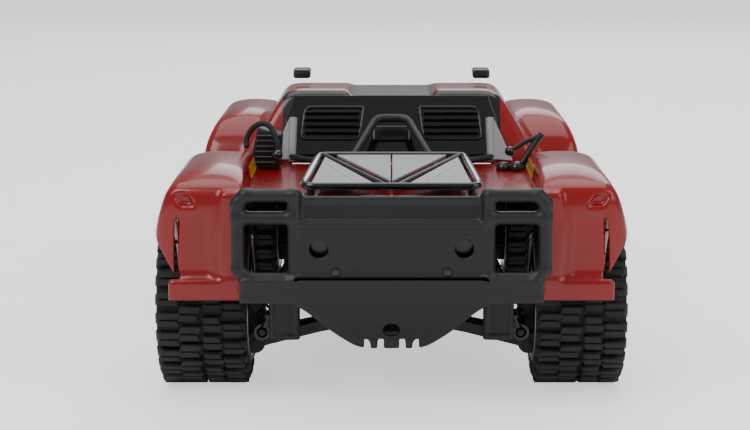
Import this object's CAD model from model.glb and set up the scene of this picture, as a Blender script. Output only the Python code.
"""Looks of a small radio-controlled desert truck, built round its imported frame.

Lengths inside the script are millimetres, in the frame's own axes: +Y forward, +X right, +Z up.
Moulded parts are smooth fields turned into meshes; what repeats is made with Geometry Nodes.
"""
import logging
import math
from dataclasses import dataclass
from enum import Enum
from typing import Callable, Sequence

import bmesh
import bpy
import numpy as np
from mathutils import Matrix, Vector


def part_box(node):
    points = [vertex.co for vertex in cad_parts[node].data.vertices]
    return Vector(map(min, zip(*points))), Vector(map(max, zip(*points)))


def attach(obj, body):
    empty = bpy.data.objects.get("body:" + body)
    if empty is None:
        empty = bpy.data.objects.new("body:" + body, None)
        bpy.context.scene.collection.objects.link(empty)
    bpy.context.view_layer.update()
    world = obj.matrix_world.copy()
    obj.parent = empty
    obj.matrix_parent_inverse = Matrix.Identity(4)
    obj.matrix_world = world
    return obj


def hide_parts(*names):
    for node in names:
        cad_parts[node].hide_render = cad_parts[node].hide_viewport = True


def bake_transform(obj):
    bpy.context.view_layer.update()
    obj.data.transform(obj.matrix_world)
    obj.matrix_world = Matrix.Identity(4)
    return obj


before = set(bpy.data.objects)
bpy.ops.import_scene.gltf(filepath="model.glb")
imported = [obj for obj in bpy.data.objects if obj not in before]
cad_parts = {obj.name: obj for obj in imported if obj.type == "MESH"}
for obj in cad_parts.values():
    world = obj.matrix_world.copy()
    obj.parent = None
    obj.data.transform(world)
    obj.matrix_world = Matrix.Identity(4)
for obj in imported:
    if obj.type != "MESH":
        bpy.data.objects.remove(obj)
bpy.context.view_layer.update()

LOG = logging.getLogger("truck")
MM = 0.001
Thing, Tree, Socket, Array = bpy.types.Object, bpy.types.NodeTree, bpy.types.NodeSocket, np.ndarray
Field = Callable[[Array], Array]
Point = tuple[float, float, float]


def corner(node: str) -> tuple[Vector, Vector]:
    """Give the lowest and highest corners of a CAD node, in millimetres."""
    low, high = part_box(node)
    return low / MM, high / MM


def middle(node: str) -> Vector:
    """Give the middle of a CAD node's box, in millimetres."""
    low, high = corner(node)
    return (low + high) / 2


@dataclass(frozen=True)
class Layout:
    """Places that the sub-assemblies share, read from the frame, in millimetres."""

    rear_y: float = middle("rear_right_tyre").y
    front_y: float = middle("front_right_tyre").y
    wheel_r: float = middle("rear_right_tyre").z
    tyre_in: float = corner("rear_right_tyre")[0].x
    tyre_out: float = corner("rear_right_tyre")[1].x
    floor_z: float = corner("chassis_tub")[0].z
    shell_high: Vector = corner("body_shell")[1]
    bumper_low: Vector = corner("rear_bumper")[0]

    @property
    def roof_z(self) -> float:
        """Height of the roof's raised sides."""
        return self.shell_high.z - 0.8

    @property
    def cab_back(self) -> float:
        """Foot of the cab's back panel."""
        return self.rear_y + 62


LAY = Layout()


# Fields: distance-like values, negative inside


def smooth_max(a: Array, b: Array, k: float) -> Array:
    """Join two fields where both hold, rounding the edge.

    Args:
        a: First field's values.
        b: Second field's values.
        k: Width of the rounding.

    Returns:
        Values of the intersection.
    """
    bend = np.maximum(k - np.abs(a - b), 0.0) / k
    return np.maximum(a, b) + bend * bend * k * 0.25


def smooth_min(a: Array, b: Array, k: float) -> Array:
    """Join two fields into one body, filling the corner over k."""
    return -smooth_max(-a, -b, k)


def prism(u: Array, v: Array, outline: Sequence[tuple[float, float]], k: float) -> Array:
    """Field of a convex outline in two coordinates.

    Args:
        u: First coordinate of each point.
        v: Second coordinate of each point.
        outline: Corners, counter-clockwise.
        k: Rounding at the corners.

    Returns:
        Values of the prism's field.
    """
    best = None
    for (u0, v0), (u1, v1) in zip(outline, [*outline[1:], outline[0]]):
        length = math.hypot(u1 - u0, v1 - v0)
        edge = ((u - u0) * (v1 - v0) - (v - v0) * (u1 - u0)) / length
        best = edge if best is None else smooth_max(best, edge, k)
    return best


def capsule(p: Array, a: Point, b: Point, r: float) -> Array:
    """Field of a round bar between two points."""
    start, along = np.array(a), np.array(b) - np.array(a)
    t = np.clip(((p - start) @ along) / (along @ along), 0.0, 1.0)
    return np.linalg.norm(p - start - t[..., None] * along, axis=-1) - r


def box(p: Array, low: Point, high: Point, r: float) -> Array:
    """Field of a box between two corners, its edges rounded to r."""
    mid, half = (np.array(low) + np.array(high)) / 2, (np.array(high) - np.array(low)) / 2 - r
    q = np.abs(p - mid) - half
    return np.linalg.norm(np.maximum(q, 0.0), axis=-1) + np.minimum(q.max(axis=-1), 0.0) - r


def slope(field: Field, p: Array) -> Array:
    """Gradient of a field at points, by central differences."""
    h = 0.05
    parts = []
    for axis in range(3):
        step = np.zeros(3)
        step[axis] = h
        parts.append((field(p + step) - field(p - step)) / (2 * h))
    return np.stack(parts, -1)


def settle_on(field: Field, p: Array, rounds: int = 4) -> Array:
    """Move points onto a field's surface."""
    for _ in range(rounds):
        g = slope(field, p)
        size = np.maximum((g * g).sum(-1), 0.05)
        move = -(field(p) / size)[..., None] * g
        limit = np.linalg.norm(move, axis=-1, keepdims=True)
        p = p + move * np.minimum(1.0, 1.2 / np.maximum(limit, 1e-9))
    return p


def net(field: Field, low: Sequence[float], high: Sequence[float], step: float) -> tuple[Array, Array]:
    """Turn a field into a quad mesh whose points lie on its surface.

    Args:
        field: Negative inside.
        low: Lowest corner of the region.
        high: Highest corner of the region.
        step: Size of a cell.

    Returns:
        The points and the quads, which face outwards.
    """
    axes = [np.arange(lo, hi + step, step) for lo, hi in zip(low, high)]
    grid = np.stack(np.meshgrid(*axes, indexing="ij"), -1)
    value = field(grid)
    inside = value < 0
    shape = np.array(inside.shape) - 1
    total = np.zeros(shape, int)
    where = np.zeros((*shape, 3))
    weight = np.zeros(shape)
    corners = [(i, j, k) for i in (0, 1) for j in (0, 1) for k in (0, 1)]

    def part(data: Array, at: tuple[int, int, int]) -> Array:
        """The data at one corner of every cell."""
        return data[at[0]:at[0] + shape[0], at[1]:at[1] + shape[1], at[2]:at[2] + shape[2]]

    for at in corners:
        total += part(inside, at)
    for a in corners:
        for axis in range(3):
            if a[axis]:
                continue
            b = tuple(1 if n == axis else c for n, c in enumerate(a))
            va, vb = part(value, a), part(value, b)
            cut = (va < 0) != (vb < 0)
            t = np.where(cut, va / np.where(cut, va - vb, 1.0), 0.0)
            spot = part(grid, a) + t[..., None] * (part(grid, b) - part(grid, a))
            where += np.where(cut[..., None], spot, 0.0)
            weight += cut
    active = (total > 0) & (total < 8)
    index = np.full(shape, -1)
    index[active] = np.arange(active.sum())
    points = settle_on(field, where[active] / weight[active][:, None])
    quads = []
    for axis in range(3):
        u, v = [n for n in range(3) if n != axis]
        first = [slice(1, n) for n in shape]
        first[axis] = slice(0, shape[axis])
        ahead = list(first)
        ahead[axis] = slice(1, shape[axis] + 1)
        here, there = inside[tuple(first)], inside[tuple(ahead)]

        def cell(du: int, dv: int) -> Array:
            """Index of the cell's point on one side of each grid edge."""
            pick = [slice(1, n) for n in shape]
            pick[axis] = slice(0, shape[axis])
            pick[u] = slice(1 - du, shape[u] - du)
            pick[v] = slice(1 - dv, shape[v] - dv)
            return index[tuple(pick)]

        ring = np.stack([cell(1, 1), cell(0, 1), cell(0, 0), cell(1, 0)], -1)
        flip = axis == 1
        for mask, turn in ((here & ~there, not flip), (~here & there, flip)):
            found = ring[mask]
            found = found[(found >= 0).all(-1)]
            quads.append(found if turn else found[:, ::-1])
    return points, np.concatenate(quads)


def trim(field: Field, keep: Field, points: Array, quads: Array) -> tuple[Array, Array]:
    """Cut a mesh along a second field, with a clean edge that stays on the surface.

    Args:
        field: The surface's own field.
        keep: Negative where the mesh stays.
        points: The mesh's points.
        quads: The mesh's quads.

    Returns:
        The points and the quads that are left.
    """
    value = keep(points)
    quads = quads[(value[quads] < 0).any(-1)]
    edge = np.unique(quads[value[quads] >= 0])
    moved = points[edge]
    for _ in range(6):
        g = slope(keep, moved)
        size = np.maximum((g * g).sum(-1), 0.2)
        moved = moved - (keep(moved) / size)[:, None] * g
        moved = settle_on(field, moved, 1)
    near = np.linalg.norm(moved - points[edge], axis=1) < 4.0
    points[edge[near]] = moved[near]
    used, back = np.unique(quads, return_inverse=True)
    return points[used], back.reshape(quads.shape)


# Making pieces


def link(name: str, mesh: bpy.types.Mesh) -> Thing:
    """Put a mesh in the scene as an object at the origin."""
    obj = bpy.data.objects.new(name, mesh)
    bpy.context.scene.collection.objects.link(obj)
    return obj


def mesh_piece(name: str, points: Sequence, faces: Sequence, smooth: bool = True) -> Thing:
    """Make an object from points in millimetres.

    Args:
        name: The piece's name.
        points: Its points.
        faces: Its faces, as lists of point numbers.
        smooth: Whether its faces are smooth shaded.

    Returns:
        The new object.
    """
    mesh = bpy.data.meshes.new(name)
    mesh.from_pydata((np.asarray(points, float) * MM).tolist(), [], np.asarray(faces).tolist()
                     if isinstance(faces, Array) else [list(f) for f in faces])
    mesh.validate()
    mesh.polygons.foreach_set("use_smooth", [smooth] * len(mesh.polygons))
    mesh.update()
    return link(name, mesh)


def plain(obj: Thing) -> Thing:
    """Turn an object's modifiers into plain mesh."""
    bpy.context.view_layer.update()
    graph = bpy.context.evaluated_depsgraph_get()
    mesh = bpy.data.meshes.new_from_object(obj.evaluated_get(graph), depsgraph=graph)
    obj.modifiers.clear()
    obj.data = mesh
    return obj


def walled(obj: Thing, wall: float, out: float = -1.0) -> Thing:
    """Give an open sheet its wall thickness."""
    solid = obj.modifiers.new("wall", "SOLIDIFY")
    solid.thickness = wall * MM
    solid.offset = out
    return plain(obj)


def bevelled(obj: Thing, width: float, segments: int = 2, angle: float = 35) -> Thing:
    """Round an object's edges."""
    edge = obj.modifiers.new("edge", "BEVEL")
    edge.width = width * MM
    edge.segments = segments
    edge.limit_method = "ANGLE"
    edge.angle_limit = math.radians(angle)
    edge.harden_normals = False
    return plain(obj)


def joined(name: str, parts: Sequence[Thing]) -> Thing:
    """Make one piece of several objects.

    Args:
        name: The piece's name.
        parts: Objects at the origin; they are used up.

    Returns:
        The joined object, with the parts' materials.
    """
    work = bmesh.new()
    slots: list[bpy.types.Material] = []
    for part in parts:
        first = len(work.faces)
        work.from_mesh(part.data)
        work.faces.ensure_lookup_table()
        own = list(part.data.materials)
        for face in work.faces[first:]:
            finish = own[face.material_index] if own else None
            if finish is not None and finish not in slots:
                slots.append(finish)
            face.material_index = slots.index(finish) if finish is not None else 0
    mesh = bpy.data.meshes.new(name)
    work.to_mesh(mesh)
    work.free()
    for finish in slots:
        mesh.materials.append(finish)
    for part in parts:
        bpy.data.objects.remove(part)
    return link(name, mesh)


def dressed(obj: Thing, finish: str) -> Thing:
    """Give a whole object one finish of Finishes, by its name."""
    obj.data.materials.clear()
    obj.data.materials.append(Finishes.get(finish))
    return obj


def cast(name: str, field: Field, low: Sequence[float], high: Sequence[float], step: float,
         keep: Field | None = None) -> Thing:
    """Make a moulded piece from a field, trimmed if asked."""
    points, quads = net(field, low, high, step)
    if keep is not None:
        points, quads = trim(field, keep, points, quads)
    return mesh_piece(name, points, quads)


def mirrored(name: str, obj: Thing) -> Thing:
    """Make the left-hand twin of a right-hand piece."""
    mesh = obj.data.copy()
    mesh.transform(Matrix.Scale(-1, 4, (1, 0, 0)))
    mesh.flip_normals()
    return link(name, mesh)


def tube(name: str, path: Sequence[Point], r: float, sides: int = 14, bend: float = 0.0) -> Thing:
    """Make a tube along a path, with round bends and closed ends.

    Args:
        name: The piece's name.
        path: Corners of the path.
        r: The tube's radius.
        sides: Faces round the tube.
        bend: Radius of the bends, or 0 for a smooth curve through the points.

    Returns:
        The new object.
    """
    curve = bpy.data.curves.new(name, "CURVE")
    curve.dimensions = "3D"
    curve.bevel_depth = r * MM
    curve.bevel_resolution = sides // 4
    curve.use_fill_caps = True
    pts = [Vector(p) for p in path]
    if bend > 0:
        route = [pts[0]]
        for a, b, c in zip(pts, pts[1:], pts[2:]):
            back, ahead = (a - b).normalized(), (c - b).normalized()
            reach = min(bend, (a - b).length * 0.45, (c - b).length * 0.45)
            for n in range(7):
                t = n / 6
                route.append((b + back * reach) * (1 - t) ** 2 + b * 2 * t * (1 - t) + (b + ahead * reach) * t ** 2)
        route.append(pts[-1])
        line = curve.splines.new("POLY")
        line.points.add(len(route) - 1)
        for spot, p in zip(line.points, route):
            spot.co = (*(p * MM), 1)
    else:
        line = curve.splines.new("NURBS")
        line.points.add(len(pts) - 1)
        line.order_u = 4
        line.use_endpoint_u = True
        curve.resolution_u = 10
        for spot, p in zip(line.points, pts):
            spot.co = (*(p * MM), 1)
    obj = bpy.data.objects.new(name, curve)
    bpy.context.scene.collection.objects.link(obj)
    bpy.context.view_layer.update()
    graph = bpy.context.evaluated_depsgraph_get()
    mesh = bpy.data.meshes.new_from_object(obj.evaluated_get(graph), depsgraph=graph)
    bpy.data.objects.remove(obj)
    mesh.polygons.foreach_set("use_smooth", [True] * len(mesh.polygons))
    return link(name, mesh)


def slab(name: str, outline: Sequence[Point], thick: Point) -> Thing:
    """Make a flat plate from its outline and the vector of its thickness."""
    n = len(outline)
    base = [Vector(p) for p in outline]
    points = base + [p + Vector(thick) for p in base]
    faces = [list(range(n))[::-1], list(range(n, 2 * n))]
    faces += [[i, (i + 1) % n, n + (i + 1) % n, n + i] for i in range(n)]
    obj = mesh_piece(name, points, faces, smooth=False)
    work = bmesh.new()
    work.from_mesh(obj.data)
    bmesh.ops.recalc_face_normals(work, faces=work.faces)
    work.to_mesh(obj.data)
    work.free()
    return obj


def brick(name: str, low: Point, high: Point) -> Thing:
    """Make a box from its two far corners."""
    (x0, y0, z0), (x1, y1, z1) = low, high
    return slab(name, [(x0, y0, z0), (x1, y0, z0), (x1, y1, z0), (x0, y1, z0)], (0, 0, z1 - z0))


def lathe(name: str, profile: Sequence[tuple[float, float]], at: Point, axis: Point,
          steps: int = 64) -> Thing:
    """Turn a closed profile round an axis.

    Args:
        name: The piece's name.
        profile: (radius, along) points of a closed outline.
        at: A point on the axis.
        axis: The axis' direction.
        steps: Faces round.

    Returns:
        The new object.
    """
    turn = Vector((0, 0, 1)).rotation_difference(Vector(axis)).to_matrix()
    n = len(profile)
    points, faces = [], []
    for s in range(steps):
        a = math.tau * s / steps
        points += [Vector(at) + turn @ Vector((r * math.cos(a), r * math.sin(a), h)) for r, h in profile]
        faces += [[s * n + i, s * n + (i + 1) % n, (s + 1) % steps * n + (i + 1) % n,
                   (s + 1) % steps * n + i]
                  for i in range(n)]
    obj = mesh_piece(name, points, faces)
    work = bmesh.new()
    work.from_mesh(obj.data)
    bmesh.ops.remove_doubles(work, verts=work.verts, dist=1e-7)
    bmesh.ops.recalc_face_normals(work, faces=work.faces)
    work.to_mesh(obj.data)
    work.free()
    return obj


def shade_by_angle(obj: Thing, angle: float = 35) -> Thing:
    """Keep edges sharp where faces meet steeply."""
    obj.data.polygons.foreach_set("use_smooth", [True] * len(obj.data.polygons))
    obj.data.set_sharp_from_angle(angle=math.radians(angle))
    return obj


def place(obj: Thing, body: str, replaces: Sequence[str] = ()) -> Thing:
    """Let a finished piece ride on a body and say what it stands for."""
    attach(obj, body)
    if replaces:
        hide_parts(*replaces)
    LOG.info("%s rides on %s: %d faces", obj.name, body, len(obj.data.polygons))
    return obj


# Shader groups and finishes


def node(tree: Tree, kind: str, **values: object) -> bpy.types.Node:
    """Add a node and set its own properties."""
    made = tree.nodes.new(kind)
    for key, value in values.items():
        setattr(made, key, value)
    return made


def feed(tree: Tree, socket: Socket, value: object) -> None:
    """Link a socket to another one, or set its constant."""
    if isinstance(value, Socket):
        tree.links.new(value, socket)
    else:
        socket.default_value = value


def calc(tree: Tree, what: str, a: object, b: object = 0.0, clamp: bool = False) -> Socket:
    """Add a Math node and give its result."""
    made = node(tree, "ShaderNodeMath", operation=what, use_clamp=clamp)
    feed(tree, made.inputs[0], a)
    feed(tree, made.inputs[1], b)
    return made.outputs[0]


def shader_group(name: str, inputs: dict[str, tuple[str, object]], outputs: dict[str, str]) -> tuple:
    """Start a shader node group.

    Args:
        name: The group's name.
        inputs: Name to (kind, default) of each input.
        outputs: Name to kind of each output.

    Returns:
        The tree, its input node and its output node.
    """
    tree = bpy.data.node_groups.new(name, "ShaderNodeTree")
    for key, (kind, default) in inputs.items():
        tree.interface.new_socket(key, in_out="INPUT",
                                  socket_type=f"NodeSocket{kind}").default_value = default
    for key, kind in outputs.items():
        tree.interface.new_socket(key, in_out="OUTPUT", socket_type=f"NodeSocket{kind}")
    return tree, tree.nodes.new("NodeGroupInput"), tree.nodes.new("NodeGroupOutput")


def make_grain() -> Tree:
    """Fine relief of a moulded or rubbed surface, with a slow mottle for its roughness."""
    tree, inp, out = shader_group("surface grain",
                                  {"Scale": ("Float", 900.0), "Strength": ("Float", 0.2),
                                                    "Depth": ("Float", 0.0002)},
                                  {"Normal": "Vector", "Mottle": "Float"})
    coords = node(tree, "ShaderNodeTexCoord")
    fine = node(tree, "ShaderNodeTexNoise")
    feed(tree, fine.inputs["Vector"], coords.outputs["Object"])
    feed(tree, fine.inputs["Scale"], inp.outputs["Scale"])
    slow = node(tree, "ShaderNodeTexNoise")
    feed(tree, slow.inputs["Vector"], coords.outputs["Object"])
    feed(tree, slow.inputs["Scale"], 45.0)
    bump = node(tree, "ShaderNodeBump")
    feed(tree, bump.inputs["Height"], fine.outputs[0])
    feed(tree, bump.inputs["Strength"], inp.outputs["Strength"])
    feed(tree, bump.inputs["Distance"], inp.outputs["Depth"])
    feed(tree, out.inputs["Normal"], bump.outputs[0])
    feed(tree, out.inputs["Mottle"], slow.outputs[0])
    return tree


def make_patch() -> Tree:
    """Mask of a box in object space, the same on both sides of the truck."""
    tree, inp, out = shader_group("patch mask",
                                  {"Low": ("Vector", (0, 0, 0)), "High": ("Vector", (1, 1, 1)),
                                                 "Lean": ("Float", 0.0)}, {"Mask": "Float"})
    coords = node(tree, "ShaderNodeTexCoord")
    parts = node(tree, "ShaderNodeSeparateXYZ")
    feed(tree, parts.inputs[0], coords.outputs["Object"])
    across = calc(tree, "ABSOLUTE", parts.outputs["X"])
    across = calc(tree, "SUBTRACT", across,
                  calc(tree, "MULTIPLY", parts.outputs["Z"], inp.outputs["Lean"]))
    low, high = node(tree, "ShaderNodeSeparateXYZ"), node(tree, "ShaderNodeSeparateXYZ")
    feed(tree, low.inputs[0], inp.outputs["Low"])
    feed(tree, high.inputs[0], inp.outputs["High"])
    mask = None
    for axis, value in zip("XYZ", (across, parts.outputs["Y"], parts.outputs["Z"])):
        for test, edge in (("GREATER_THAN", low), ("LESS_THAN", high)):
            one = calc(tree, test, value, edge.outputs[axis])
            mask = one if mask is None else calc(tree, "MULTIPLY", mask, one)
    feed(tree, out.inputs["Mask"], mask)
    return tree


def make_dust() -> Tree:
    """Mask of pale road dust, thickest near the ground."""
    tree, inp, out = shader_group("road dust", {"Height": ("Float", 0.06), "Amount": ("Float", 0.3)},
                                  {"Mask": "Float"})
    coords = node(tree, "ShaderNodeTexCoord")
    parts = node(tree, "ShaderNodeSeparateXYZ")
    feed(tree, parts.inputs[0], coords.outputs["Object"])
    noise = node(tree, "ShaderNodeTexNoise")
    feed(tree, noise.inputs["Vector"], coords.outputs["Object"])
    feed(tree, noise.inputs["Scale"], 120.0)
    feed(tree, noise.inputs["Detail"], 5.0)
    fall = calc(tree, "SUBTRACT", 1.0, calc(tree, "DIVIDE", parts.outputs["Z"], inp.outputs["Height"]),
                clamp=True)
    mask = calc(tree, "MULTIPLY", calc(tree, "MULTIPLY", fall, inp.outputs["Amount"]), noise.outputs[0],
                clamp=True)
    feed(tree, out.inputs["Mask"], mask)
    return tree


GRAIN, PATCH, DUST = make_grain(), make_patch(), make_dust()


@dataclass(frozen=True)
class Patch:
    """A coloured area of a finish, a box in millimetres on both sides."""

    color: tuple[float, float, float]
    low: Point
    high: Point
    lean: float = 0.0
    rough: float | None = None


@dataclass(frozen=True)
class Finish:
    """A surface: its colour, how it shines, its grain and its dust."""

    name: str
    color: tuple[float, float, float]
    rough: float
    metallic: float = 0.0
    coat: float = 0.0
    coat_rough: float = 0.05
    specular: float = 0.5
    sheen: float = 0.0
    grain_scale: float = 900.0
    grain: float = 0.0
    dust: float = 0.0
    patches: tuple[Patch, ...] = ()

    def _mix(self, tree: Tree, mask: object, a: object, b: object) -> Socket:
        """Blend two colours by a mask."""
        blend = node(tree, "ShaderNodeMix", data_type="RGBA")
        feed(tree, blend.inputs[0], mask)
        feed(tree, blend.inputs[6], a if isinstance(a, Socket) else (*a, 1))
        feed(tree, blend.inputs[7], (*b, 1))
        return blend.outputs[2]

    def make(self) -> bpy.types.Material:
        """Build the finish as a material."""
        made = bpy.data.materials.new(self.name)
        made.use_nodes = True
        tree = made.node_tree
        skin = tree.nodes["Principled BSDF"]
        grain = node(tree, "ShaderNodeGroup", node_tree=GRAIN)
        feed(tree, grain.inputs["Scale"], self.grain_scale)
        feed(tree, grain.inputs["Strength"], self.grain)
        color: object = (*self.color, 1)
        shade = node(tree, "ShaderNodeMix", data_type="RGBA")
        feed(tree, shade.inputs[0], calc(tree, "MULTIPLY", grain.outputs["Mottle"], 0.25))
        feed(tree, shade.inputs[6], color)
        feed(tree, shade.inputs[7], (*(c * 0.75 for c in self.color), 1))
        color = shade.outputs[2]
        rough: object = calc(tree, "ADD",
                             calc(tree, "MULTIPLY", grain.outputs["Mottle"], self.rough * 0.3),
                             self.rough * 0.85)
        for patch in self.patches:
            mask = node(tree, "ShaderNodeGroup", node_tree=PATCH)
            feed(tree, mask.inputs["Low"], [v * MM for v in patch.low])
            feed(tree, mask.inputs["High"], [v * MM for v in patch.high])
            feed(tree, mask.inputs["Lean"], patch.lean)
            color = self._mix(tree, mask.outputs[0], color, patch.color)
        if self.dust:
            dust = node(tree, "ShaderNodeGroup", node_tree=DUST)
            feed(tree, dust.inputs["Amount"], self.dust)
            color = self._mix(tree, dust.outputs[0], color, (0.32, 0.28, 0.23))
        feed(tree, skin.inputs["Base Color"], color)
        feed(tree, skin.inputs["Roughness"], rough)
        feed(tree, skin.inputs["Normal"], grain.outputs["Normal"])
        for socket, value in (("Metallic", self.metallic), ("Coat Weight", self.coat),
                              ("Coat Roughness", self.coat_rough),
                              ("Specular IOR Level", self.specular), ("Sheen Weight", self.sheen)):
            skin.inputs[socket].default_value = value
        return made


GREY = (0.30, 0.31, 0.33)
WHITE = (0.75, 0.75, 0.74)
GLASS = (0.006, 0.007, 0.008)
YELLOW = (0.80, 0.38, 0.02)
SHELL_PATCHES = (
    Patch(GLASS, (0, -70, 89.5), (50.5, -38.5, 122.5)),
    Patch(GLASS, (0, -36, 98), (19, 24, 119.2)),
    Patch(GLASS, (20.5, -26, 95), (30, 54, 117), -0.3),
    Patch(GLASS, (0, 30, 98), (44, 71, 117)),
    Patch(GLASS, (60, -30, 96), (95, 50, 114), -0.28),
    Patch(YELLOW, (55, -120, 89.5), (61.5, -84, 99.5)),
    Patch(YELLOW, (66, 92, 99), (84, 128, 104)),
    Patch(GREY, (66, -148, 99.4), (70, -112, 103), 0.02),
    Patch(GREY, (72, -150, 99.4), (77, -112, 103), 0.02),
    Patch(WHITE, (74.5, -20, 48), (76, 40, 51)),
)


class Finishes:
    """Every finish of the truck, made once."""

    red = Finish("gloss red shell", (0.30, 0.0, 0.0), 0.26, coat=0.45, coat_rough=0.03,
                 patches=SHELL_PATCHES)
    black = Finish("moulded black plastic", (0.014, 0.015, 0.016), 0.50, grain=0.25, grain_scale=1500,
                   dust=0.12)
    bumper = Finish("satin black guard", (0.012, 0.0135, 0.0145), 0.44, grain=0.18, grain_scale=1300)
    gloss = Finish("gloss black glazing", GLASS, 0.08, coat=0.6)
    lamp = Finish("lamp housing black", (0.012, 0.012, 0.013), 0.22, coat=0.3)
    rubber = Finish("tyre rubber", (0.017, 0.017, 0.0175), 0.62, specular=0.35, sheen=0.08, grain=0.5,
                    grain_scale=700, dust=0.10)
    deck = Finish("light grey deck", (0.33, 0.345, 0.36), 0.42, grain=0.12, grain_scale=600)
    pale = Finish("pinstripe white", (0.7, 0.7, 0.69), 0.4)
    steel = Finish("steel", (0.55, 0.55, 0.56), 0.26, metallic=1.0, grain=0.15, grain_scale=500)
    screw = Finish("black screws", (0.07, 0.07, 0.072), 0.3, metallic=0.9)
    copper = Finish("copper", (0.55, 0.22, 0.10), 0.3, metallic=1.0, grain=0.1)
    brass = Finish("brass", (0.60, 0.42, 0.16), 0.25, metallic=1.0, grain=0.1)
    can = Finish("motor can", (0.38, 0.38, 0.40), 0.32, metallic=0.95, grain=0.1)
    rim = Finish("satin rim", (0.025, 0.025, 0.026), 0.25, coat=0.4)
    bright = Finish("bright rim lip", (0.62, 0.62, 0.63), 0.18, metallic=1.0)
    spring = Finish("coil spring black", (0.02, 0.02, 0.021), 0.28, metallic=0.6)
    battery = Finish("battery wrap", (0.02, 0.05, 0.16), 0.3, coat=0.5, patches=(
        Patch((0.55, 0.56, 0.58), (20, -60, 50.0), (41, -30, 51.2)),
        Patch(YELLOW, (20, -26, 50.0), (41, -20, 51.2))))
    case = Finish("electronics case", (0.02, 0.021, 0.022), 0.38, grain=0.3, grain_scale=1800)
    wire_red = Finish("red wire", (0.45, 0.01, 0.01), 0.35)
    wire_black = Finish("black wire", (0.015, 0.015, 0.015), 0.35)
    lens = Finish("lamp lens", (0.7, 0.72, 0.75), 0.08, coat=1.0, metallic=0.4)
    _made: dict[str, bpy.types.Material] = {}

    @classmethod
    def get(cls, name: str) -> bpy.types.Material:
        """Give a finish's material, building it at first use."""
        if name not in cls._made:
            cls._made[name] = getattr(cls, name).make()
        return cls._made[name]


# Geometry Nodes for what repeats


def geometry_group(name: str, inputs: Sequence[tuple[str, str, object]]) -> tuple:
    """Start a Geometry Nodes group.

    Args:
        name: The group's name.
        inputs: (name, kind, default) of each input after the geometry.

    Returns:
        The tree, its input node and its output node.
    """
    tree = bpy.data.node_groups.new(name, "GeometryNodeTree")
    tree.interface.new_socket("Geometry", in_out="INPUT", socket_type="NodeSocketGeometry")
    for key, kind, default in inputs:
        made = tree.interface.new_socket(key, in_out="INPUT", socket_type=f"NodeSocket{kind}")
        if default is not None:
            made.default_value = default
    tree.interface.new_socket("Geometry", in_out="OUTPUT", socket_type="NodeSocketGeometry")
    return tree, tree.nodes.new("NodeGroupInput"), tree.nodes.new("NodeGroupOutput")


def finish_tree(tree: Tree, inp: bpy.types.Node, out: bpy.types.Node,
                geometry: Socket) -> Tree:
    """End a tree with real geometry and its material."""
    real = node(tree, "GeometryNodeRealizeInstances")
    feed(tree, real.inputs[0], geometry)
    paint = node(tree, "GeometryNodeSetMaterial")
    feed(tree, paint.inputs["Geometry"], real.outputs[0])
    feed(tree, paint.inputs["Material"], inp.outputs["Finish"])
    feed(tree, out.inputs[0], paint.outputs[0])
    return tree


def copies_of(tree: Tree, inp: bpy.types.Node, points: Socket,
              turn: object) -> Socket:
    """Put the input part on points, turned."""
    part = node(tree, "GeometryNodeObjectInfo")
    feed(tree, part.inputs["Object"], inp.outputs["Part"])
    spread = node(tree, "GeometryNodeInstanceOnPoints")
    feed(tree, spread.inputs["Points"], points)
    feed(tree, spread.inputs["Instance"], part.outputs["Geometry"])
    feed(tree, spread.inputs["Rotation"], turn)
    return spread.outputs[0]


def make_ring() -> Tree:
    """Copies of a part round an axis along X: treads and bolts."""
    tree, inp, out = geometry_group("ring of parts", [
        ("Part", "Object", None), ("Count", "Int", 8), ("Radius", "Float", 0.03),
        ("Centre", "Vector", (0, 0, 0)),
        ("Phase", "Float", 0.0), ("Finish", "Material", None)])
    line = node(tree, "GeometryNodeMeshLine")
    feed(tree, line.inputs["Count"], inp.outputs["Count"])
    index = node(tree, "GeometryNodeInputIndex")
    part = calc(tree, "DIVIDE", index.outputs[0], inp.outputs["Count"])
    angle = calc(tree, "ADD", calc(tree, "MULTIPLY", part, math.tau), inp.outputs["Phase"])
    spot = node(tree, "ShaderNodeCombineXYZ")
    feed(tree, spot.inputs["Y"], calc(tree, "MULTIPLY",
                                      calc(tree, "MULTIPLY", calc(tree, "SINE", angle), -1.0),
                                      inp.outputs["Radius"]))
    feed(tree, spot.inputs["Z"], calc(tree, "MULTIPLY", calc(tree, "COSINE", angle),
                                      inp.outputs["Radius"]))
    shift = node(tree, "ShaderNodeVectorMath", operation="ADD")
    feed(tree, shift.inputs[0], spot.outputs[0])
    feed(tree, shift.inputs[1], inp.outputs["Centre"])
    move = node(tree, "GeometryNodeSetPosition")
    feed(tree, move.inputs["Geometry"], line.outputs[0])
    feed(tree, move.inputs["Position"], shift.outputs[0])
    turn = node(tree, "ShaderNodeCombineXYZ")
    feed(tree, turn.inputs["X"], angle)
    return finish_tree(tree, inp, out, copies_of(tree, inp, move.outputs[0], turn.outputs[0]))


def make_row() -> Tree:
    """Copies of a part in a straight row: louvres, ribs and fins."""
    tree, inp, out = geometry_group("row of parts", [
        ("Part", "Object", None), ("Count", "Int", 4), ("Start", "Vector", (0, 0, 0)),
        ("Step", "Vector", (0, 0, 0.01)),
        ("Finish", "Material", None)])
    line = node(tree, "GeometryNodeMeshLine", mode="OFFSET")
    feed(tree, line.inputs["Count"], inp.outputs["Count"])
    feed(tree, line.inputs["Start Location"], inp.outputs["Start"])
    feed(tree, line.inputs["Offset"], inp.outputs["Step"])
    return finish_tree(tree, inp, out, copies_of(tree, inp, line.outputs[0], (0.0, 0.0, 0.0)))


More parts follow.
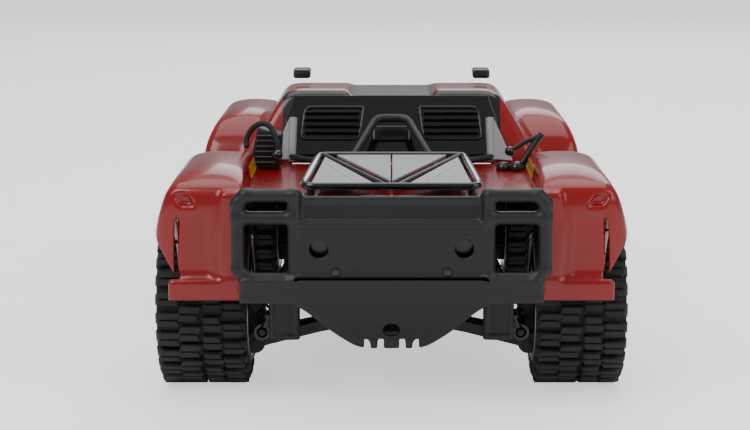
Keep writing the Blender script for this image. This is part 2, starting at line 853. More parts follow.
def make_coil() -> Tree:
    """A coil spring along Z."""
    tree, inp, out = geometry_group("coil", [
        ("Turns", "Float", 6.0), ("Radius", "Float", 0.005), ("Height", "Float", 0.03),
        ("Wire", "Float", 0.0006),
        ("Finish", "Material", None)])
    spiral = node(tree, "GeometryNodeCurveSpiral")
    feed(tree, spiral.inputs["Resolution"], 24)
    feed(tree, spiral.inputs["Rotations"], inp.outputs["Turns"])
    for key in ("Start Radius", "End Radius"):
        feed(tree, spiral.inputs[key], inp.outputs["Radius"])
    feed(tree, spiral.inputs["Height"], inp.outputs["Height"])
    ring = node(tree, "GeometryNodeCurvePrimitiveCircle")
    feed(tree, ring.inputs["Resolution"], 10)
    feed(tree, ring.inputs["Radius"], inp.outputs["Wire"])
    sweep = node(tree, "GeometryNodeCurveToMesh")
    feed(tree, sweep.inputs["Curve"], spiral.outputs[0])
    feed(tree, sweep.inputs["Profile Curve"], ring.outputs[0])
    feed(tree, sweep.inputs["Fill Caps"], True)
    return finish_tree(tree, inp, out, sweep.outputs[0])


RING, ROW, COIL = make_ring(), make_row(), make_coil()


def grown(name: str, tree: Tree, smooth: float | None = 35, **values: object) -> Thing:
    """Make a piece with a Geometry Nodes group.

    Args:
        name: The piece's name.
        tree: The group.
        smooth: Angle in degrees over which edges stay sharp, or None for all smooth.
        values: The group's inputs, with the finish by its name.

    Returns:
        The piece, as plain mesh.
    """
    obj = link(name, bpy.data.meshes.new(name))
    modifier = obj.modifiers.new("nodes", "NODES")
    modifier.node_group = tree
    sockets = {s.name: s.identifier for s in tree.interface.items_tree if s.in_out == "INPUT"}
    part = values.get("Part")
    for key, value in values.items():
        modifier[sockets[key]] = Finishes.get(value) if key == "Finish" else value
    plain(obj)
    if isinstance(part, Thing):
        bpy.data.objects.remove(part)
    return shade_by_angle(obj, 180 if smooth is None else smooth)


# Sub-assemblies


@dataclass
class Shell:
    """The lift-off body: one moulding at the back, one at the front, both thin sheets."""

    wall: float = 1.1
    arch_r: float = 47.0
    shelf_z: float = LAY.floor_z + 63.2
    crest: float = 100.3
    door_x: float = 74.0

    def fender(self, x: Array, y: Array, z: Array, plan: Sequence, side: Sequence) -> Array:
        """Field of one fender, on both sides of the truck."""
        c = self.crest
        across = prism(x, z, [(60.5, 20), (101, 20), (101, 61), (99.5, 75), (95.7, 86.5), (92, 94),
                              (86.5, c - 1.8),
                              (80, c), (69, c), (60.5, 96.5)], 5.0)
        return smooth_max(smooth_max(across, prism(x, y, plan, 4.0), 3.0), prism(y, z, side, 6.0), 4.0)

    def rear(self, p: Array) -> Array:
        """Field of the rear moulding: fenders, bed shelf and inset panels."""
        x, y, z = np.abs(p[..., 0]), p[..., 1], p[..., 2]
        back = -165.2
        body = self.fender(x, y, z,
                           [(55, back), (89.6, back), (96, -161.5), (100.5, -157), (101.6, -150),
                            (101.6, -100),
                            (99, -66), (92, -55), (55, -55)],
                           [(-167.5, 20), (-55, 20), (-55, 70), (-66, 88), (-80, 97),
                            (-96, self.crest + 0.4),
                            (-140, self.crest + 0.4), (-157, 96), (back, 91.5)])
        body = smooth_max(body, -(x - 60.5), 2.0)
        bed = np.maximum(prism(y, z, [(-163, 20), (-50, 20), (-50, self.shelf_z), (-163, self.shelf_z)],
                               2.0), x - 66)
        body = smooth_min(body, bed, 4.0)
        inset = box(np.stack([x - (z - 67) * 0.06, y, z], -1), (74.5, -170, 55),
                    (88.5, back + 1.5, 80.5), 2.2)
        body = smooth_max(body, -inset, 1.6)
        rib = box(p * [0, 1, 1] + np.stack([x, 0 * x, 0 * x], -1), (62, back - 0.9, 44),
                  (92, back + 2, 53.6), 1.2)
        body = smooth_min(body, rib, 1.6)
        bulge = box(np.stack([x + np.abs(z - 74) * 0.10, y, z], -1), (62.5, back - 0.8, 52),
                    (71.5, back + 2, 90), 1.5)
        body = smooth_min(body, bulge, 2.0)
        slit = box(np.stack([x + (z - 66) * 0.03 - (y + 158) * 0.42, y, z], -1), (89.9, -166, 54),
                   (91.5, -150, 79), 0.7)
        body = smooth_max(body, -slit, 1.0)
        notch = box(np.stack([x - (z - 87) * 0.6, y, z], -1), (82.5, -170, 84.5),
                    (88.5, back + 3.2, 88.6), 1.0)
        return smooth_max(body, -notch, 1.2)

    def rear_keep(self, p: Array) -> Array:
        """Negative where the rear moulding's sheet stays."""
        x, y, z = np.abs(p[..., 0]), p[..., 1], p[..., 2]
        arch = np.maximum(np.hypot(y - LAY.rear_y, z - 46) - self.arch_r, 68 - x)
        under = np.maximum(x - 61.5, z - self.shelf_z + 2.2)
        return np.maximum.reduce([45.2 - z, -arch, -under, y + 62])

    def front(self, p: Array) -> Array:
        """Field of the front moulding: cab, bonnet, nose and front fenders."""
        x, y, z = np.abs(p[..., 0]), p[..., 1], p[..., 2]
        roof = LAY.roof_z
        across = prism(x, z, [(-5, 20), (self.door_x, 20), (self.door_x, 80), (61.8, 101),
                              (52.5, roof - 3.5),
                              (48, roof + 0.3), (-5, roof + 0.3)], 4.0)
        cab = prism(y, z, [(-56, 20), (90, 20), (90, 91), (38, 115.5), (24, roof - 2.2),
                           (-40, roof + 0.5),
                           (-56, self.shelf_z)], 5.0)
        cab = smooth_max(cab, across, 3.0)
        trough = box(p, (-19.5, -80, roof - 3.6), (19.5, 60, roof + 12), 2.5)
        cab = smooth_max(cab, -trough, 3.0)
        bonnet = prism(y, z, [(20, 20), (174, 20), (176.5, 62), (168, 78), (150, 87), (74, 98),
                              (20, 104)], 7.0)
        bonnet = smooth_max(bonnet, prism(x, z,
                                          [(-5, 20), (self.door_x, 20), (self.door_x, 78), (62, 97),
                                           (-5, 99)], 6.0), 4.0)
        scoop = box(p, (-15, 84, 86), (15, 138, 99.5 - 2), 5.0)
        bonnet = smooth_min(bonnet, scoop, 5.0)
        nose = smooth_max(bonnet, x - 60.5 - np.maximum(120 - y, 0) * 0.6, 4.0)
        body = smooth_min(cab, nose, 5.0)
        fender = self.fender(x, y, z, [(58, 52), (92, 52), (99, 60), (101.2, 80), (101.2, 128),
                                       (98.6, 150),
                                       (92, 163), (84, 167.5), (58, 167.5)],
                             [(50, 20), (168, 20), (168, 70), (162, 86), (148, 97),
                              (134, self.crest + 0.4),
                              (84, self.crest + 0.4), (66, 94), (54, 80), (50, 60)])
        return smooth_min(body, smooth_max(fender, 60.5 - x, 2.0), 4.0)

    def front_keep(self, p: Array) -> Array:
        """Negative where the front moulding's sheet stays."""
        x, y, z = np.abs(p[..., 0]), p[..., 1], p[..., 2]
        arch = np.maximum(np.hypot(y - LAY.front_y, z - 46) - self.arch_r, 68 - x)
        under = np.maximum.reduce([x - 57, 146 - y, z - 63])
        floor = np.minimum(z - 34.5, np.maximum(z - 42.5, LAY.front_y - y))
        back = np.maximum(y + 52, z - self.shelf_z + 0.6)
        return np.maximum.reduce([-floor, -arch, -under, -back])

    def build(self) -> None:
        """Make both mouldings, walled, painted and riding on the shell."""
        coarse = 1.0
        rear = cast("shell_rear_moulding", self.rear, (-104, -169, 42), (104, -58, 104), 1.15 * coarse,
                    self.rear_keep)
        place(walled(dressed(rear, "red"), self.wall), "shell", ["body_shell"])
        front = cast("shell_front_moulding", self.front, (-104, -60, 30), (104, 180, 125), 1.6 * coarse,
                     self.front_keep)
        place(walled(dressed(front, "red"), self.wall), "shell")


@dataclass
class RearBumper:
    """The moulded guard: two tube loops, a panel with two holes and a skid plate."""

    x0: float = 39.1
    x1: float = 61.8
    y: float = LAY.bumper_low.y + 2.75
    low: float = LAY.floor_z + 32.2
    top: float = LAY.floor_z + 66.3
    r: float = 2.7
    hole_gap: float = 58.6
    hole_r: float = 3.8

    def field(self, p: Array) -> Array:
        """Field of the whole moulding."""
        q = np.stack([np.abs(p[..., 0]), p[..., 1], p[..., 2]], -1)
        x, y, z = q[..., 0], q[..., 1], q[..., 2]
        cross, back = self.top - 9, self.y - self.r
        loop = [(self.x0, self.y, self.top), (self.x1 - 3, self.y, self.top),
                (self.x1, self.y, self.top - 3),
                (self.x1, self.y, self.low + 4), (self.x1 - 4, self.y, self.low),
                (self.x0, self.y, self.low),
                (self.x0, self.y, self.top)]
        body = None
        for a, b in [*zip(loop, loop[1:]), ((self.x0, self.y, cross), (self.x1, self.y, cross))]:
            bar = capsule(q, a, b, self.r)
            body = bar if body is None else smooth_min(body, bar, 1.8)
        panel = box(q, (-5, back + 1.0, self.low - 2.4), (self.x0 - 1, back + 3.4, cross - 3.6), 0.7)
        body = smooth_min(body, panel, 1.2)
        ridge = box(q, (-5, back + 0.1, cross - 4.2), (self.x0 - 1, back + 3.2, cross - 1.2), 0.9)
        body = smooth_min(body, ridge, 1.2)
        slope = box(np.stack([x, y - (z - cross) * 0.16 - 0.8, z], -1), (-5, back + 1.2, cross - 3),
                    (self.x0 - 1, back + 3.2, self.top - 1.2), 0.6)
        body = smooth_min(body, slope, 1.2)
        lip = capsule(q, (-5, back + 3.6, self.top - 1.5), (self.x0 - 2, back + 3.6, self.top - 1.5),
                      1.2)
        body = smooth_min(body, lip, 1.4)
        lean = math.tan(math.radians(32))
        depth = y - (back + 1.6) - (self.low - 2 - z) * lean
        keel = prism(x, z, [(-5, 25.2), (13, 25.2), (20.5, 29.5), (38, 46), (38, self.low),
                            (-5, self.low)], 2.5)
        wing = np.maximum.reduce([x - 61.5, 46.8 - z, z - self.low])
        outline = smooth_min(keel, wing, 5.0)
        skid = smooth_max(np.abs(depth) * math.cos(math.radians(32)) - 1.3, outline, 1.2)
        body = smooth_min(body, skid, 1.6)
        rim = smooth_max(np.abs(depth + 0.6) * 0.85 - 1.6, np.maximum(outline, -outline - 2.2), 1.0)
        body = smooth_min(body, np.maximum(rim, z - 50), 1.0)
        for at in (4.5, 10.0):
            groove = box(q, (at - 1.3, back + 8, 24), (at + 1.3, self.y + 60, 29.4), 0.5)
            body = smooth_max(body, -groove, 0.7)
        brace = capsule(q, (8, self.y + 18, 31), (8, LAY.rear_y - 19, 31), 3.0)
        body = smooth_min(body, np.maximum(brace, y - LAY.rear_y + 19), 2.0)
        hole = np.hypot(x - self.hole_gap / 2, z - (self.low + cross) / 2) - self.hole_r
        body = smooth_max(body, -np.maximum(hole, np.abs(y - back - 2.4) - 4), 0.7)
        tow = np.hypot(x, (z - 33.8) / 0.9) - 3.4
        return smooth_max(body, -np.maximum(tow, y - self.y - 30), 0.7)

    def build(self) -> None:
        """Make the moulding and its screws."""
        step = 0.72
        guard = cast("rear_guard", self.field, (-66, self.y - 4, 23.5),
                     (66, LAY.rear_y - 18, self.top + 4), step)
        place(dressed(guard, "bumper"), "chassis", ["rear_bumper"])
        head = lathe("head", [(0, 0.9), (1.6, 0.6), (2.1, -0.4), (0, -0.4)], (0, 0, 0), (0, -1, 0), 24)
        ring = [(s * 36, -176, z) for s, z in ((-1, 58), (1, 58), (1, 78), (-1, 78))]
        backing = dressed(bevelled(slab("guard_backing", ring, (0, 1.2, 0)), 0.3), "lamp")
        place(backing, "chassis")
        row = grown("guard_screws", ROW, Part=head, Count=2,
                    Start=(-0.0225, (self.y - self.r + 0.9) * MM, 0.0605),
                    Step=(0.045, 0, 0), Finish="screw")
        place(row, "chassis")


@dataclass
class ArmGuards:
    """Two flaps that hang in front of the rear arms."""

    def build(self) -> None:
        """Make both flaps with their rounded edges and a moulded rib."""
        low, high = corner("arm_guards")
        x0 = high.x - 13.0

        def field(p: Array) -> Array:
            """A gently bowed flap with a raised border."""
            q = np.stack([p[..., 0], p[..., 1] - ((p[..., 0] - x0 - 6.5) / 9) ** 2 * 1.2, p[..., 2]], -1)
            flap = box(q, (x0, low.y + 0.4, low.z - 1), (x0 + 13, low.y + 2.6, high.z), 1.0)
            dent = box(q, (x0 + 2.2, low.y - 3, low.z + 1.5), (x0 + 10.8, low.y + 1.0, high.z - 2.5),
                       0.8)
            return smooth_max(flap, -dent, 0.8)

        right = cast("arm_guard_right", field, (x0 - 2, low.y - 2, low.z - 3),
                     (x0 + 15, low.y + 6, high.z + 2), 0.5)
        dressed(right, "bumper")
        left = mirrored("arm_guard_left", right)
        place(right, "chassis", ["arm_guards"])
        place(left, "chassis")


class Side(Enum):
    """Left and right, with the sign of X."""

    left = -1
    right = 1


@dataclass
class Wheel:
    """A tyre with its tread blocks, and the ring that clamps it to the rim."""

    corner: str
    blocks: int = 26
    outer_r: float = LAY.wheel_r
    bead_r: float = 27.2

    def block(self, name: str, width: float, length: float, height: float, skew: float) -> Thing:
        """Make one tread block, with a sipe across it, standing on +Z."""
        w, l = width / 2, length / 2
        parts = []
        for s in (-1, 1):
            a, b = (0.35, l) if s > 0 else (-l, -0.35)
            ring = [(-w + skew, a), (w, a - 0.0), (w - skew * s, b), (-w, b)]
            parts.append(slab(name, [(x, y, -2.0) for x, y in ring], (0, 0, height + 2.0)))
        base = slab(name, [(-w, -l, -2.0), (w, -l, -2.0), (w, l, -2.0), (-w, l, -2.0)],
                    (0, 0, height + 0.6))
        return bevelled(joined(name, [*parts, base]), 0.28, 1)

    def build(self) -> None:
        """Make the tyre, its tread rows, its shoulder lugs and the clamp ring."""
        front, side = self.corner.split("_")
        sign = Side[side].value
        y = (LAY.rear_y if front == "rear" else LAY.front_y)
        body = f"{self.corner}_wheel"
        mid, half = (LAY.tyre_in + LAY.tyre_out) / 2 * sign, (LAY.tyre_out - LAY.tyre_in) / 2
        r, b = self.outer_r, self.bead_r
        tread = r - 3.0
        wall = [(b, half - 0.6), (b + 1.6, half), (b + 2.4, half - 0.5), (b + 3.2, half + 0.1),
                (b + 5.6, half - 0.2),
                (tread - 1.6, half - 1.6), (tread - 0.3, half - 3.6), (tread, half - 6)]
        profile = wall + [(rr, -h) for rr, h in reversed(wall)]
        profile += [(b - 0.3, -half + 3), (b - 0.3, half - 3)]
        base = lathe("carcass", profile, (mid, y, r), (1, 0, 0), 96)
        dressed(base, "rubber")
        parts = [base]
        spot = (mid * MM, y * MM, r * MM)
        rows = ((4.6, 7.6, 6.2, 0.0, 1.1), (-4.6, 7.6, 6.2, 0.5, -1.1), (13.2, 8.2, 5.6, 0.3, 0.9),
                (-13.2, 8.2, 5.6, 0.8, -0.9))
        for n, (at, width, length, phase, skew) in enumerate(rows):
            lug = self.block("lug", width, length, 3.0, skew)
            parts.append(grown(f"row{n}", RING, Part=lug, Count=self.blocks, Radius=tread * MM,
                               Centre=(spot[0] + at * MM, spot[1], spot[2]),
                               Phase=phase * math.tau / self.blocks,
                               Finish="rubber"))
        for s in (-1, 1):
            lug = bevelled(slab("lug", [(-1.4, -2.3, -5.5), (1.2, -2.3, -5.5), (2.0, -2.3, -1.0),
                                        (0.6, -2.3, 1.6), (-1.8, -2.3, 1.9)],
                                (0, 4.6, 0)), 0.3, 1)
            if s < 0:
                lug.data.transform(Matrix.Scale(-1, 4, (1, 0, 0)))
                lug.data.flip_normals()
            parts.append(grown(f"shoulder{s}", RING, Part=lug, Count=self.blocks, Radius=tread * MM,
                               Centre=(spot[0] + s * (half - 1.6) * MM, spot[1], spot[2]),
                               Phase=(0.3 if s > 0 else 0.8) * math.tau / self.blocks, Finish="rubber"))
        tyre = joined(f"{self.corner}_tyre_detailed", parts)
        place(tyre, body, [f"{self.corner}_tyre"])
        lips = []
        for s in (-1, 1):
            ring = lathe("lip", [(b - 2.6, s * (half - 1.8)), (b - 2.6, s * (half + 0.1)),
                                 (b - 1.8, s * (half + 0.5)),
                                 (b + 0.3, s * (half + 0.2)), (b + 0.6, s * (half - 0.6)),
                                 (b - 0.4, s * (half - 1.8))],
                         (mid, y, r), (1, 0, 0), 96)
            lips.append(dressed(ring, "bright" if s == -sign else "rim"))
        bolt = lathe("bolt", [(0, 0.9), (0.7, 0.8), (0.8, 0), (0, 0)], (0, 0, 0), (sign, 0, 0), 12)
        lips.append(grown("bolts", RING, Part=bolt, Count=12, Radius=(b - 1.1) * MM,
                          Centre=(spot[0] + sign * (half + 0.3) * MM, spot[1], spot[2]), Phase=0.1,
                          Finish="steel"))
        place(joined(f"{self.corner}_rim_rings", lips), body)


@dataclass
class Spring:
    """A coil spring between a shock's two cups."""

    corner: str
    radius: float = 4.65
    wire: float = 0.6
    turns: float = 7.0

    def build(self) -> None:
        """Make the coil along its shock's slope, bending between body and rod."""
        low, high = corner(f"{self.corner}_spring")
        sign = Side[self.corner.split("_")[1]].value
        lean = math.radians(22)
        for _ in range(4):
            wide, deep = 5.2 * math.cos(lean), 5.2 * math.sin(lean)
            near, far = sorted((abs(low.x), abs(high.x)))
            lean = math.atan2(far - near - 2 * wide, high.z - low.z - 2 * deep)
        top = Vector((sign * (near + wide), (low.y + high.y) / 2, high.z - deep))
        foot = Vector((sign * (far - wide), top.y, low.z + deep))
        length = (top - foot).length
        coil = grown(f"{self.corner}_coil", COIL, smooth=None, Turns=self.turns, Radius=self.radius * MM,
                     Height=length * MM, Wire=self.wire * MM, Finish="spring")
        turn = Vector((0, 0, 1)).rotation_difference(top - foot).to_matrix().to_4x4()
        coil.data.transform(Matrix.Translation(foot * MM) @ turn)
        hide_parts(f"{self.corner}_spring")
        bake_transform(coil)


@dataclass
class Deck:
    """The bed's frame, its light panels and the cage tubes behind the cab."""

    half: float = 36.0
    back: float = LAY.rear_y - 46
    front: float = LAY.rear_y + 18
    z0: float = LAY.floor_z + 67.5
    z1: float = LAY.floor_z + 72

    def build(self) -> None:
        """Make panels, frame, cage, side posts and sail panels."""
        x0, x1, y0, y1, z0, z1 = self.half, self.half - 4, self.back, self.front, self.z0, self.z1
        at = lambda x, y, up=0.0: (x, y, z0 + (z1 - z0) * (y - y0) / (y1 - y0) + up)
        parts = []
        for s in (-1, 1):
            for n, ring in enumerate((((x0 - 3, y0 + 2), (x1 - 3, y1 - 7), (7, y0 + 2)),
                                      ((x1 - 8, y1 - 3), (0.3, y0 + 7), (0.3, y1 - 3)))):
                panel = slab("panel", [at(s * x, y, -0.3) for x, y in ring], (0, 0, 1.2))
                parts.append(dressed(bevelled(panel, 0.3), "deck"))
            parts.append(dressed(tube("stripe",
                                      [at(s * (x0 - 8), y1 - 22, 1.0), at(s * 15, y0 + 6, 1.0)], 0.35, 8,
                                      0.1), "pale"))
            diagonal = tube("bar", [at(s * (x1 - 2), y1 - 1), at(s * 3, y0 + 1)], 1.5, 12, 0.1)
            parts.append(dressed(diagonal, "bumper"))
            for y in (y0 + 4, y1 - 3):
                leg = tube("leg", [at(s * (x0 - 3), y), (s * (x0 - 3), y, LAY.floor_z + 63.4)], 1.4, 12,
                           0.1)
                parts.append(dressed(leg, "bumper"))
        frame_path = [at(0, y0), at(x0, y0), at(x1, y1), at(-x1, y1), at(-x0, y0), at(0, y0)]
        parts.append(dressed(tube("frame", frame_path, 1.6, 14, 4), "gloss"))
        for s in (-1, 1):
            edge = tube("edge", [at(s * x0, y0 + 5), at(s * x1, y1 - 5)], 1.75, 14, 0.1)
            parts.append(dressed(edge, "bright"))
        rise = LAY.cab_back
        cage = [(-20, y1 + 7, 90.6), (-7, rise - 4, 109.0), (7, rise - 4, 109.0), (20, y1 + 7, 90.6)]
        parts.append(dressed(tube("cage", cage, 1.9, 16, 4), "bumper"))
        place(joined("bed_frame", parts), "shell", ["bed_deck"])
        sails = []
        for s in (-1, 1):
            post = tube("post", [(s * 46, rise - 3, 89.5), (s * 45.4, rise + 5, 108)], 2.0, 14, 0.1)
            sails.append(dressed(post, "deck"))
            foot = tube("foot", [(s * 46, rise - 3, 91), (s * 20, y1 + 7, 91)], 1.5, 12, 0.1)
            sails.append(dressed(foot, "bumper"))
            ring = [(s * 47, rise + 5.4, 108.5), (s * 47, rise - 3, 90), (s * 55.5, rise - 8, 90)]
            sail = bevelled(slab("sail", ring, (0, -1.0, 0)), 0.3)
            sails.append(dressed(sail, "deck"))
        place(joined("cab_posts_and_sails", sails), "shell")


@dataclass
class CabBack:
    """The louvred panel at the cab's back, and the lamp pods on the roof."""

    foot: float = LAY.cab_back
    lean: float = 16 / 33.3

    def on(self, x: float, z: float, out: float = 0.0) -> Vector:
        """A point on the back panel, a distance behind it."""
        y = self.foot + (z - LAY.floor_z - 63.2) * self.lean
        return Vector((x, y - out * 0.9, z + out * 0.43))

    def build(self) -> None:
        """Make the panel, louvres, middle channel and roof pods."""
        parts = []
        ring = [self.on(x, z, 0.1) for x,
                z in ((-46, 91), (46, 91), (49, 106), (45, 117.5), (-45, 117.5), (-49, 106))]
        panel = bevelled(slab("panel", ring, self.on(0, 0, 0.9) - self.on(0, 0)), 0.4)
        parts.append(dressed(panel, "gloss"))
        for s in (-1, 1):
            frame_path = [self.on(s * x, z, 1.1) for x,
                          z in ((13, 112), (40, 112), (42, 98), (15, 98), (13, 112))]
            parts.append(dressed(tube("frame", frame_path, 0.8, 10, 3), "lamp"))
            slat = bevelled(slab("slat", [(-12.5, 0, -0.9), (12.5, 0, -0.9), (12.5, -2.4, 0.9),
                                          (-12.5, -2.4, 0.9)], (0, 0.3, 0.7)), 0.2, 1)
            start = self.on(s * 27.5, 100.4, 0.9) * MM
            step = (self.on(0, 102.9) - self.on(0, 100)) * MM
            parts.append(grown(f"slats{s}", ROW, Part=slat, Count=4, Start=start[:], Step=step[:],
                               Finish="gloss"))
        middle_ring = [self.on(x, z, 0.9) for x,
                       z in ((-8.5, 97), (8.5, 97), (8.5, 103.5), (-8.5, 103.5))]
        box_part = bevelled(slab("centre", middle_ring, self.on(0, 0, 1.8) - self.on(0, 0)), 0.6)
        parts.append(dressed(box_part, "lamp"))
        place(joined("cab_back_panel", parts), "shell")
        low, high = corner("roof_lamps")
        for side in Side:
            x = side.value * (high.x - 3.6)
            pod = brick("pod", (x - 4.2, low.y, low.z - 0.6), (x + 4.2, high.y, high.z + 0.2))
            pod = dressed(bevelled(pod, 1.1, 3), "lamp")
            lens = bevelled(slab("lens", [(x - 3, high.y + 0.1, low.z + 0.4),
                                          (x + 3, high.y + 0.1, low.z + 0.4),
                                          (x + 3, high.y + 0.1, high.z - 0.6),
                                          (x - 3, high.y + 0.1, high.z - 0.6)], (0, 0.5, 0)), 0.2)
            dressed(lens, "lens")
            place(joined(f"roof_pod_{side.name}", [pod, lens]), "shell",
                  ["roof_lamps"] if side is Side.left else ())


@dataclass
class BedTrim:
    """The vent box with its hose on the left, and the ball and bracket on the right."""

    def build(self) -> None:
        """Make the trim on both sides of the bed."""
        parts = []
        block = bevelled(slab("vent", [(-64, -82, 88.6), (-50, -82, 88.6), (-49, -82, 104),
                                       (-60, -82, 107)], (0, 12, 0)), 1.0, 3)
        parts.append(dressed(block, "bumper"))
        rib = bevelled(brick("rib", (-5.2, -0.9, -0.5), (5.2, 0.8, 0.5)), 0.25, 1)
        parts.append(grown("ribs", ROW, Part=rib, Count=6, Start=(-0.0566, -0.0825, 0.0915),
                           Step=(0.0003, 0, 0.0024),
                           Finish="lamp"))
        hose = [(-52, -80, 90), (-50, -86, 93), (-51, -84, 103), (-55, -80, 109.5), (-62, -78, 108.5),
                (-66, -78, 101.5), (-65, -80, 98.2)]
        parts.append(dressed(tube("hose", hose, 1.3, 14), "rubber"))
        bulb = lathe("bulb", [(0, 2.6), (1.3, 2.3), (2.2, 1.3), (2.5, 0), (2.2, -1.3), (0, -1.6)],
                     (-51, -87, 95.5), (0, -1, 0), 28)
        parts.append(dressed(bulb, "gloss"))
        place(joined("vent_box", parts), "shell")
        parts = []
        ball = lathe("ball", [(0, 2.3), (0.9, 2.1), (1.7, 1.5), (2.2, 0.6), (2.2, -0.6), (1.7, -1.5),
                              (0, -2.3)], (53, -82, 96.5), (0, 0, 1), 32)
        parts.append(dressed(ball, "gloss"))
        parts.append(dressed(tube("arm", [(53, -82, 96.5), (60, -80, 100.5), (67.5, -78, 103.5)], 1.1,
                                  12, 2), "bumper"))
        strut = [(67.5, -78, 103.8), (64, -79, 99.5), (58.5, -82, 91), (55, -82, 89)]
        parts.append(dressed(tube("strut", strut, 1.5, 12, 3), "bumper"))
        for x, y, r in ((50, -84, 3.2), (56, -85, 3.6), (61.5, -83, 2.8)):
            lump = lathe("lump", [(0, r), (r * 0.6, r * 0.85), (r * 0.92, r * 0.4), (r, -0.6),
                                  (0, -0.6)], (x, y, 88.9), (0, 0, 1), 28)
            parts.append(dressed(lump, "lamp"))
        place(joined("ball_and_bracket", parts), "shell")


@dataclass
class Nose:
    """Grille and headlamps on the nose, which the rear view does not show."""

    def build(self) -> None:
        """Make the grille bars and a lamp on each side."""
        bar = bevelled(brick("bar", (-26, 0, -0.7), (26, 1.2, 0.7)), 0.3, 1)
        grille = grown("nose_grille", ROW, Part=bar, Count=3, Start=(0, 0.1733, 0.0665),
                       Step=(0, -0.0014, 0.0034),
                       Finish="lamp")
        place(grille, "shell")
        lamps = []
        for side in Side:
            x = side.value * 44
            rim = lathe("rim", [(5.4, -2), (6.0, 0), (5.4, 1.4), (4.9, 0.8), (0, 0.6), (0, -2)],
                        (x, 171.2, 69.5), (0, 0.94, 0.34), 40)
            lamps.append(dressed(rim, "lamp"))
            glass = lathe("glass", [(0, 1.7), (2.4, 1.5), (4.7, 0.8), (4.7, 0.4), (0, 0.4)],
                          (x, 171.2, 69.5), (0, 0.94, 0.34), 40)
            lamps.append(dressed(glass, "lens"))
        place(joined("headlamps", lamps), "shell")


@dataclass
class Inside:
    """Wires, strap, heat sink and screws on the chassis."""

    def build(self) -> None:
        """Make the small parts round the battery, motor and electronics."""
        low, high = corner("battery")
        parts = []
        for y in (low.y + 24, high.y - 24):
            strap = [(low.x - 0.6, y, LAY.floor_z + 4), (low.x - 0.6, y, high.z + 0.5),
                     (high.x + 0.4, y, high.z + 0.5),
                     (high.x + 0.4, y, LAY.floor_z + 4)]
            ring = [Vector(p) for p in strap]
            band = joined("band", [slab("s",
                                        [a + Vector((0, -4, 0)), b + Vector((0, -4, 0)),
                                         b + Vector((0, 4, 0)), a + Vector((0, 4, 0))],
                                        (0.5, 0, 0.5)) for a, b in zip(ring, ring[1:])])
            parts.append(dressed(band, "bumper"))
        place(joined("battery_straps", parts), "chassis")
        low, high = corner("electronics_box")
        fin = brick("fin", (low.x + 2, -0.4, 0), (high.x - 2, 0.4, 2.6))
        fins = grown("heat_sink", ROW, Part=fin, Count=7, Start=(0, (low.y + 4) * MM, high.z * MM),
                     Step=(0, (high.y - low.y - 8) / 6 * MM, 0), Finish="can")
        place(fins, "chassis")
        motor_low, motor_high = corner("motor")
        x, z = (motor_low.x + motor_high.x) / 2, motor_high.z
        wires = []
        for n, finish in enumerate(("wire_red", "wire_black")):
            path = [(x + n * 5 - 2, motor_low.y + 4, z - 3), (x + n * 5 - 2, motor_low.y + 2, z + 6),
                    (x + n * 4, (motor_low.y + low.y) / 2, z + 8),
                    (low.x + 6 + n * 4, high.y, high.z + 3), (low.x + 6 + n * 4, high.y - 5, high.z - 1)]
            wires.append(dressed(tube("wire", path, 0.9, 10), finish))
        place(joined("motor_wires", wires), "chassis")
        screws = []
        head = lathe("head", [(0, -0.5), (1.3, -0.4), (1.5, 0.2), (0, 0.2)], (0, 0, LAY.floor_z),
                     (0, 0, 1), 20)
        for n, (sx, sy, count, dy) in enumerate(((-8, LAY.rear_y - 12, 2, 24),
                (8, LAY.rear_y - 12, 2, 24), (-8, LAY.front_y - 12, 2, 24),
                (8, LAY.front_y - 12, 2, 24))):
            part = head.copy()
            part.data = head.data.copy()
            bpy.context.scene.collection.objects.link(part)
            screws.append(grown(f"floor{n}", ROW, Part=part, Count=count, Start=(sx * MM, sy * MM, 0.0),
                                Step=(0, dy * MM, 0),
                                Finish="screw"))
        bpy.data.objects.remove(head)
        place(joined("floor_screws", screws), "chassis")
        heads = []
        for side in Side:
            s = side.value
            link_low, link_high = corner(f"rear_{side.name}_link")
            inner = min(abs(link_low.x), abs(link_high.x)) + 3.3
            screw = lathe("head", [(0, 1.4), (1.7, 1.1), (2.2, 0), (2.0, -0.8), (0, -0.8)],
                          (s * inner, link_low.y - 0.9, link_high.z - 3.1), (0, -1, 0), 24)
            heads.append(dressed(screw, "copper"))
        place(joined("link_screw_heads", heads), "chassis")


CAD_FINISHES = {
    "chassis_tub": "black", "gearbox_housings": "black", "shock_towers": "black",
    "front_bumper": "bumper", "motor": "can",
    "battery": "battery", "electronics_box": "case", "steering_servo": "case", "centre_shaft": "steel",
    "motor_pinion": "brass", "rear_diff": "steel", "front_diff": "steel", "servo_bellcrank": "steel",
    "idler_bellcrank": "steel", "steering_rack": "steel", "_arm": "black", "_link": "black",
    "_hub": "black",
    "_carrier": "black", "_knuckle": "black", "_dogbone": "steel", "_wheel": "rim",
    "_shock_body": "lamp",
    "_shock_rod": "lamp", "_tie_rod": "black",
}


def paint_cad() -> None:
    """Give every shown CAD node its finish."""
    for name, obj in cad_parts.items():
        finish = next((f for key, f in CAD_FINISHES.items() if name == key or (key[0] == "_" and name.endswith(key))), None)
        if finish is None:
            continue
        dressed(obj, finish)


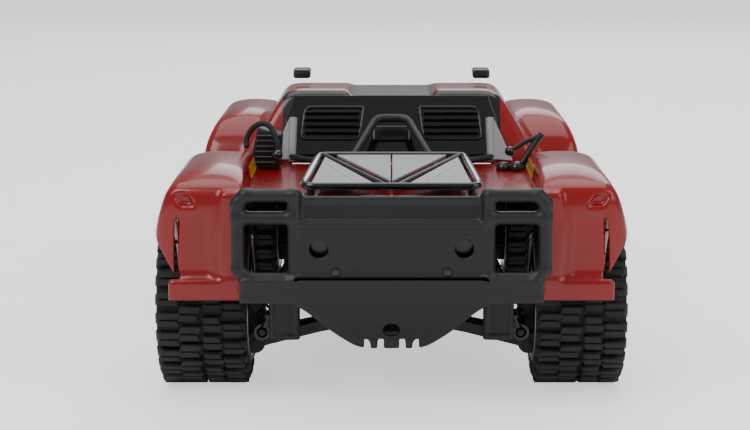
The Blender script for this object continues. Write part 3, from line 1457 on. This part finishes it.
@dataclass
class Studio:
    """Camera, pale floor and soft lights."""

    lens: float = 99.5
    reach: float = 850.0
    rise: float = 9.0
    aim_y: float = -165.0
    aim_z: float = 80.7
    shift: float = -0.022
    ambient: float = 0.3
    backdrop: float = 1.7
    floor_glow: float = 0.9

    def camera(self) -> None:
        """Set the camera that matches the truck's picture."""
        data = bpy.data.cameras.new("camera")
        data.lens, data.sensor_width, data.shift_x = self.lens, 36.0, self.shift
        data.clip_start, data.clip_end = 0.05, 20.0
        obj = bpy.data.objects.new("camera", data)
        a = math.radians(self.rise)
        obj.location = Vector((0, self.aim_y - self.reach * math.cos(a),
                               self.aim_z + self.reach * math.sin(a))) * MM
        obj.rotation_euler = (math.pi / 2 - a, 0, 0)
        bpy.context.scene.collection.objects.link(obj)
        bpy.context.scene.camera = obj

    def light(self, name: str, at: Point, size: float, power: float) -> None:
        """Add a square soft box that looks at the truck."""
        data = bpy.data.lights.new(name, "AREA")
        data.size, data.energy = size, power
        obj = bpy.data.objects.new(name, data)
        obj.location = at
        obj.rotation_euler = (Vector((0, -0.05, 0.06)) - Vector(at)).to_track_quat("-Z", "Y").to_euler()
        bpy.context.scene.collection.objects.link(obj)

    def build(self) -> None:
        """Set up everything round the truck."""
        self.camera()
        self.light("key", (-1.0, -1.3, 1.6), 1.2, 19)
        self.light("fill", (1.4, -1.1, 1.0), 1.4, 10)
        self.light("top", (0.0, 0.3, 1.9), 1.8, 17)
        self.light("rear", (0.3, 1.8, 1.2), 1.2, 9)
        world = bpy.data.worlds.new("studio")
        world.use_nodes = True
        tree = world.node_tree
        sky = tree.nodes["Background"]
        sky.inputs["Color"].default_value = (0.95, 0.96, 1.0, 1)
        seen = node(tree, "ShaderNodeLightPath").outputs["Is Camera Ray"]
        feed(tree, sky.inputs["Strength"],
             calc(tree, "ADD", self.ambient, calc(tree, "MULTIPLY", seen, self.backdrop)))
        bpy.context.scene.world = world
        mesh = bpy.data.meshes.new("floor")
        mesh.from_pydata([(-6, -6, 0), (6, -6, 0), (6, 6, 0), (-6, 6, 0)], [], [(0, 1, 2, 3)])
        floor = link("floor", mesh)
        finish = bpy.data.materials.new("pale floor")
        finish.use_nodes = True
        finish.node_tree.nodes["Principled BSDF"].inputs["Base Color"].default_value = (0.95, 0.95,
                0.945, 1)
        finish.node_tree.nodes["Principled BSDF"].inputs["Roughness"].default_value = 0.7
        shine = finish.node_tree.nodes["Principled BSDF"]
        shine.inputs["Emission Color"].default_value = (1, 1, 1, 1)
        seen = node(finish.node_tree, "ShaderNodeLightPath").outputs["Is Camera Ray"]
        glow = calc(finish.node_tree, "MULTIPLY", seen, self.floor_glow)
        feed(finish.node_tree, shine.inputs["Emission Strength"], glow)
        floor.data.materials.append(finish)


CORNERS = ("rear_left", "rear_right", "front_left", "front_right")


def main() -> None:
    """Build the looks round the frame."""
    logging.basicConfig(level=logging.INFO, format="%(name)s: %(message)s")
    paint_cad()
    for part in (Shell(), RearBumper(), ArmGuards(), Deck(), CabBack(), BedTrim(), Nose(), Inside(),
                 Studio()):
        part.build()
    for name in CORNERS:
        Wheel(name).build()
        Spring(name).build()


if __name__ == "__main__":
    main()
